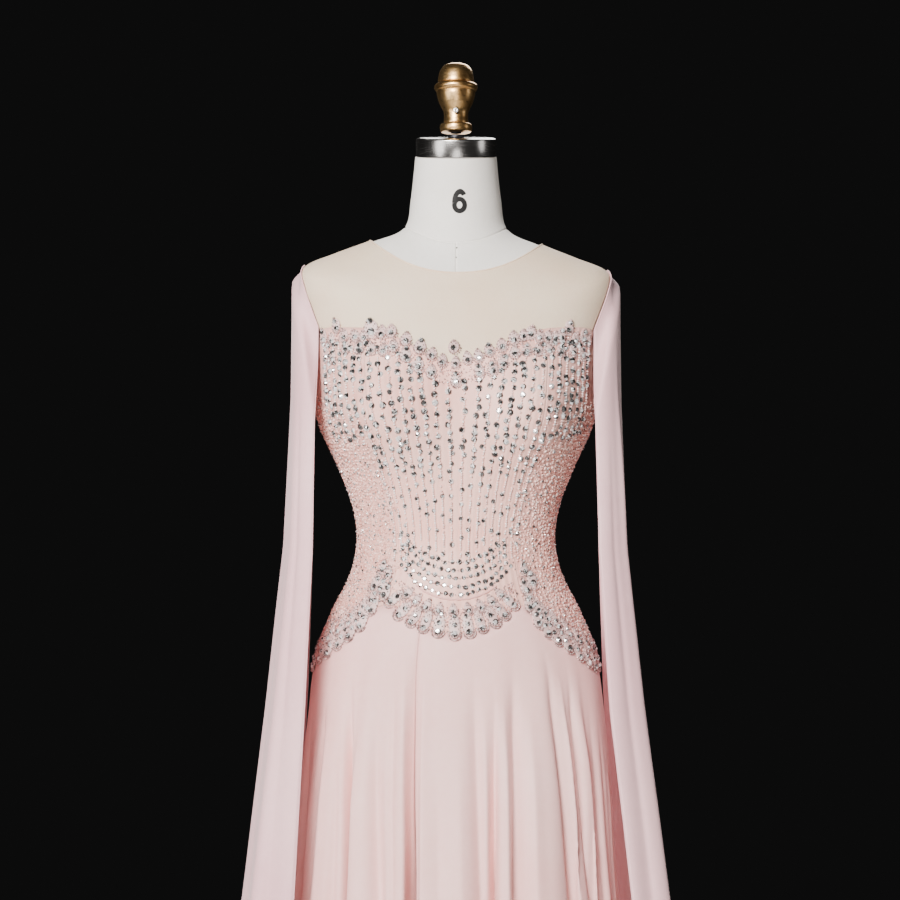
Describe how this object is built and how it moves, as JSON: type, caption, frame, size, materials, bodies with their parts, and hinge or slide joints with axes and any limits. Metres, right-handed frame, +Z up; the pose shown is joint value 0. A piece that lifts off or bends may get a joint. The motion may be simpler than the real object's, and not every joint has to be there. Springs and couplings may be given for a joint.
{
  "type": "cape gown on a limbless dress form",
  "caption": "Floor-length evening gown with sheer yoke, beaded bodice and split cape sleeves, standing on a limbless dress form with a plain stand.",
  "frame": {"origin": "on the floor, under the axis of the stand's pole, at the middle of the base's underside", "axes": "+Z up, the gown's front faces -Y, +X is the viewer's right when the front is seen"},
  "size_m": [0.6742, 0.5411, 1.6684],
  "materials": {
    "form_cloth": "off-white cotton jersey, smooth",
    "neck_steel": "brushed round the neck plate",
    "old_brass": "turned, aged, satin",
    "stand_metal": "dark satin paint",
    "sheer_mesh": "fine sheer nude mesh",
    "beaded_cloth": "blush mesh set with rows of stones and seed beads",
    "bead_applique": "thick drops of seed beads round clear stones",
    "blush_chiffon": "soft matte blush chiffon over satin"
  },
  "bodies": {
    "root": {"form_body": "form_cloth", "neck_cap": "neck_steel", "finial_nut": "stand_metal", "finial_rod": "stand_metal", "finial": "old_brass", "finial_screw": "neck_steel", "stand_base": "stand_metal", "stand_pole": "stand_metal", "yoke_front": "sheer_mesh", "yoke_back_right": "sheer_mesh", "yoke_back_left": "sheer_mesh", "neckline_edging": "sheer_mesh", "bodice_front_center": "beaded_cloth", "bodice_side_front_left": "beaded_cloth", "bodice_side_front_right": "beaded_cloth", "bodice_back_right": "beaded_cloth", "bodice_back_left": "beaded_cloth", "sweetheart_trim": "bead_applique", "waist_fan_trim": "bead_applique", "basque_trim_left": "bead_applique", "basque_trim_right": "bead_applique", "skirt_front_left": "blush_chiffon", "skirt_front_right": "blush_chiffon", "skirt_back_right": "blush_chiffon", "skirt_back_left": "blush_chiffon", "cape_sleeve_left": "blush_chiffon", "cape_sleeve_right": "blush_chiffon"}
  },
  "joints": []
}
